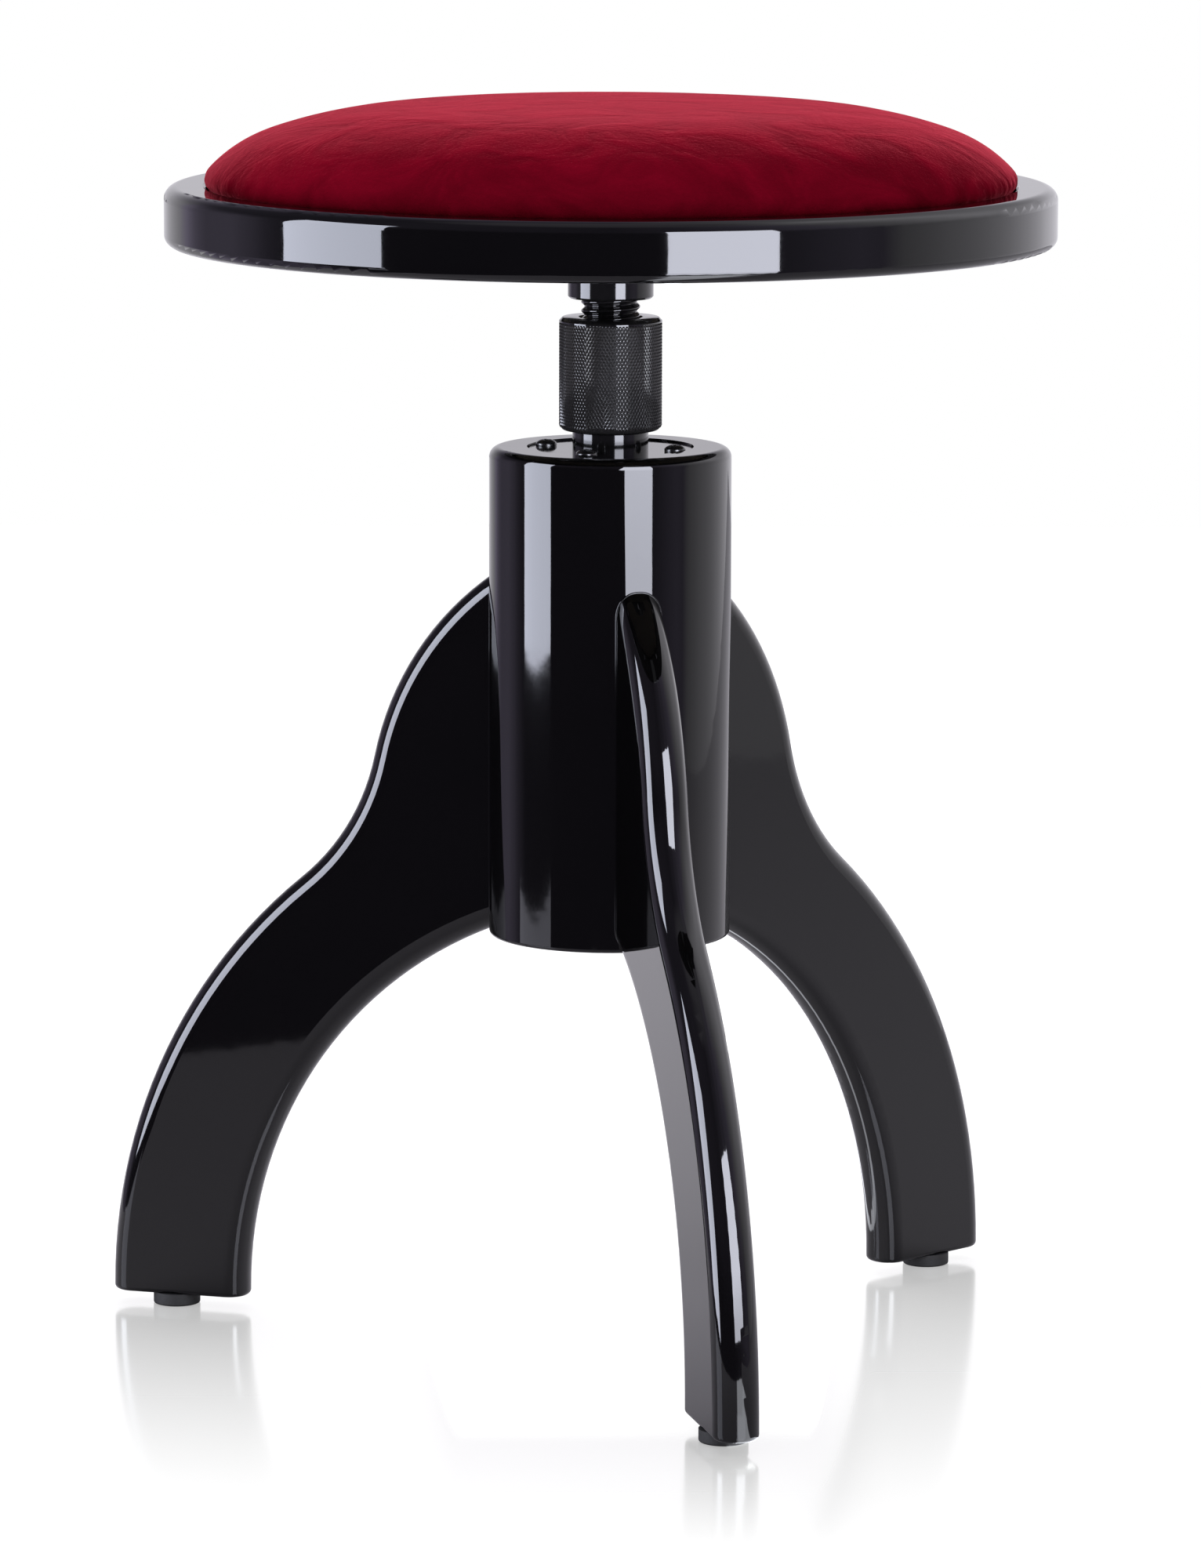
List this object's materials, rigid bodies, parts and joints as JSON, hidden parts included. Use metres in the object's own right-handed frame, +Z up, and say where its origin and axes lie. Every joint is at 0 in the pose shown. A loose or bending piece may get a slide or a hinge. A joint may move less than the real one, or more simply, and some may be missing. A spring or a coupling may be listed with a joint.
{
  "type": "piano stool",
  "caption": "Round velvet piano stool with a black wooden ring, turned by a threaded spindle to set its height, on a turned column with curved flat legs.",
  "frame": {"origin": "on the floor, where the axis of the column and spindle meets it, at the middle of the three feet", "axes": "+Z up along the spindle, -Y along the front leg, +X to the right"},
  "size_m": [0.3658, 0.3846, 0.4925],
  "materials": {
    "black_lacquer": "high gloss black lacquer on turned and cut hardwood",
    "dowel_beech": "bare beech",
    "foot_rubber": "matte black rubber",
    "neck_black": "gloss black enamel",
    "nut_black": "matte black, knurled",
    "thread_black": "black oxide on a rolled thread",
    "screw_black": "black oxide",
    "steel_zinc": "zinc plated",
    "plywood": "bare plywood",
    "foam": "soft foam",
    "red_velvet": "deep red velvet, short pile"
  },
  "bodies": {
    "stand": {"column": "black_lacquer", "leg_front": "black_lacquer", "leg_right": "black_lacquer", "leg_left": "black_lacquer", "leg_dowels": "dowel_beech", "foot_front": "foot_rubber", "foot_right": "foot_rubber", "foot_left": "foot_rubber", "foot_studs": "steel_zinc", "neck_flange": "neck_black", "flange_screws": "screw_black"},
    "seat_carrier": {"stop_washer": "steel_zinc"},
    "seat": {"spindle": "thread_black", "stop_screw": "steel_zinc", "seat_hub": "neck_black", "hub_pin": "steel_zinc", "seat_plate": "neck_black", "plate_screws": "steel_zinc", "seat_ring": "black_lacquer", "seat_board": "plywood", "board_screws": "steel_zinc", "cushion_foam": "foam", "cushion_cover": "red_velvet"},
    "nut_carrier": {"thrust_washer": "steel_zinc"},
    "nut": {"lock_nut": "nut_black"}
  },
  "joints": [
    {"name": "seat_rise", "type": "slide", "parent": "stand", "child": "seat_carrier", "axis": [0, 0, 1], "range_m": [-0.0035, 0.11]},
    {"name": "seat_turn", "type": "hinge", "parent": "seat_carrier", "child": "seat", "pos_m": [0, 0, 0.35], "axis": [0, 0, 1], "range_deg": [-361, 11316]},
    {"name": "lock_nut_rise", "type": "slide", "parent": "stand", "child": "nut_carrier", "axis": [0, 0, 1], "range_m": [0, 0.0035]},
    {"name": "lock_nut_turn", "type": "hinge", "parent": "nut_carrier", "child": "nut", "pos_m": [0, 0, 0.387], "axis": [0, 0, 1], "range_deg": [-1, 361]}
  ],
  "couplings": [
    {"joint": "seat_turn", "follows": "seat_rise", "rad_per_m": 1795.2},
    {"joint": "lock_nut_turn", "follows": "lock_nut_rise", "rad_per_m": 1795.2}
  ]
}
